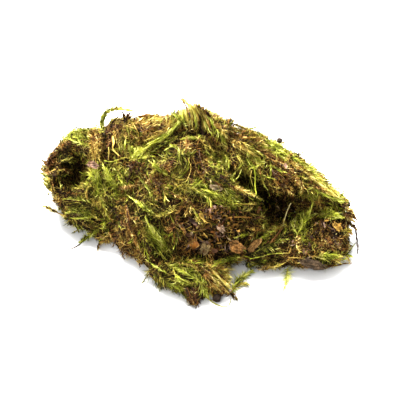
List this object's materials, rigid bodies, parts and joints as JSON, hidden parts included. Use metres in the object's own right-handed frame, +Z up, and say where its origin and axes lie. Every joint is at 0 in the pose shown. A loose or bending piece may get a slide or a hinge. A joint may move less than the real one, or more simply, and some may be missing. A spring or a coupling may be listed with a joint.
{
  "type": "moss clump",
  "caption": "Torn clump of long-leaved moss, green and brown, lying on its flat underside, with loose shoots, twigs and leaf scraps.",
  "frame": {"origin": "on the surface it lies on, under the middle of the clump's box", "axes": "+X along the clump, from the rolled end to the flap; +Y towards its back; +Z up"},
  "size_m": [0.1758, 0.1167, 0.0719],
  "materials": {
    "moss_mat": "matt, fibrous, brown and olive",
    "moss_shoot": "slightly glossy narrow green leaves",
    "stem": "matt",
    "twig": "matt",
    "dead_leaf": "dry, matt",
    "bark": "matt",
    "soil": "crumbly, dark"
  },
  "bodies": {
    "root": {"main_mat": "moss_mat", "right_flap": "moss_mat", "left_roll": "moss_mat", "lower_right_mat": "moss_mat", "front_tuft": "moss_mat", "crest_shoot": "moss_shoot", "crest_shoot_lower": "moss_shoot", "centre_curl": "moss_shoot", "left_arch": "moss_shoot", "left_spray": "moss_shoot", "left_plume_high": "moss_shoot", "left_plume_low": "moss_shoot", "left_plume_side": "moss_shoot", "left_bundle": "moss_shoot", "fan_shoot": "moss_shoot", "centre_shoot": "moss_shoot", "centre_short": "moss_shoot", "olive_plume": "moss_shoot", "bright_plume": "moss_shoot", "double_plume_left": "moss_shoot", "double_plume_right": "moss_shoot", "star_shoot": "moss_shoot", "right_plume": "moss_shoot", "right_hook": "moss_shoot", "right_loop": "moss_shoot", "gap_edge_plume": "moss_shoot", "gap_tuft": "moss_shoot", "rising_plume": "moss_shoot", "right_flat_plume": "moss_shoot", "edge_plume": "moss_shoot", "front_blade": "moss_shoot", "front_left_blade": "moss_shoot", "ground_sprig_front": "moss_shoot", "ground_sprig_right": "moss_shoot", "ground_sprig_left": "moss_shoot", "end_twig": "twig", "bud_twig": "twig", "tan_twig": "twig", "mauve_twig": "twig", "orange_stem": "stem", "tan_stem": "stem", "top_twig": "twig", "high_stem": "stem", "crest_tip": "stem", "flap_stem": "stem", "gap_stem": "stem", "front_root": "stem", "yellow_strand": "stem", "bark_flake": "bark", "orange_leaf": "dead_leaf", "orange_leaf_long": "dead_leaf", "olive_leaf": "dead_leaf", "beige_flake": "dead_leaf", "mauve_flake": "dead_leaf", "pink_flake": "dead_leaf", "tan_leaf": "dead_leaf", "crest_crumb": "soil", "end_crumb": "soil", "front_crumb": "soil"}
  },
  "joints": []
}
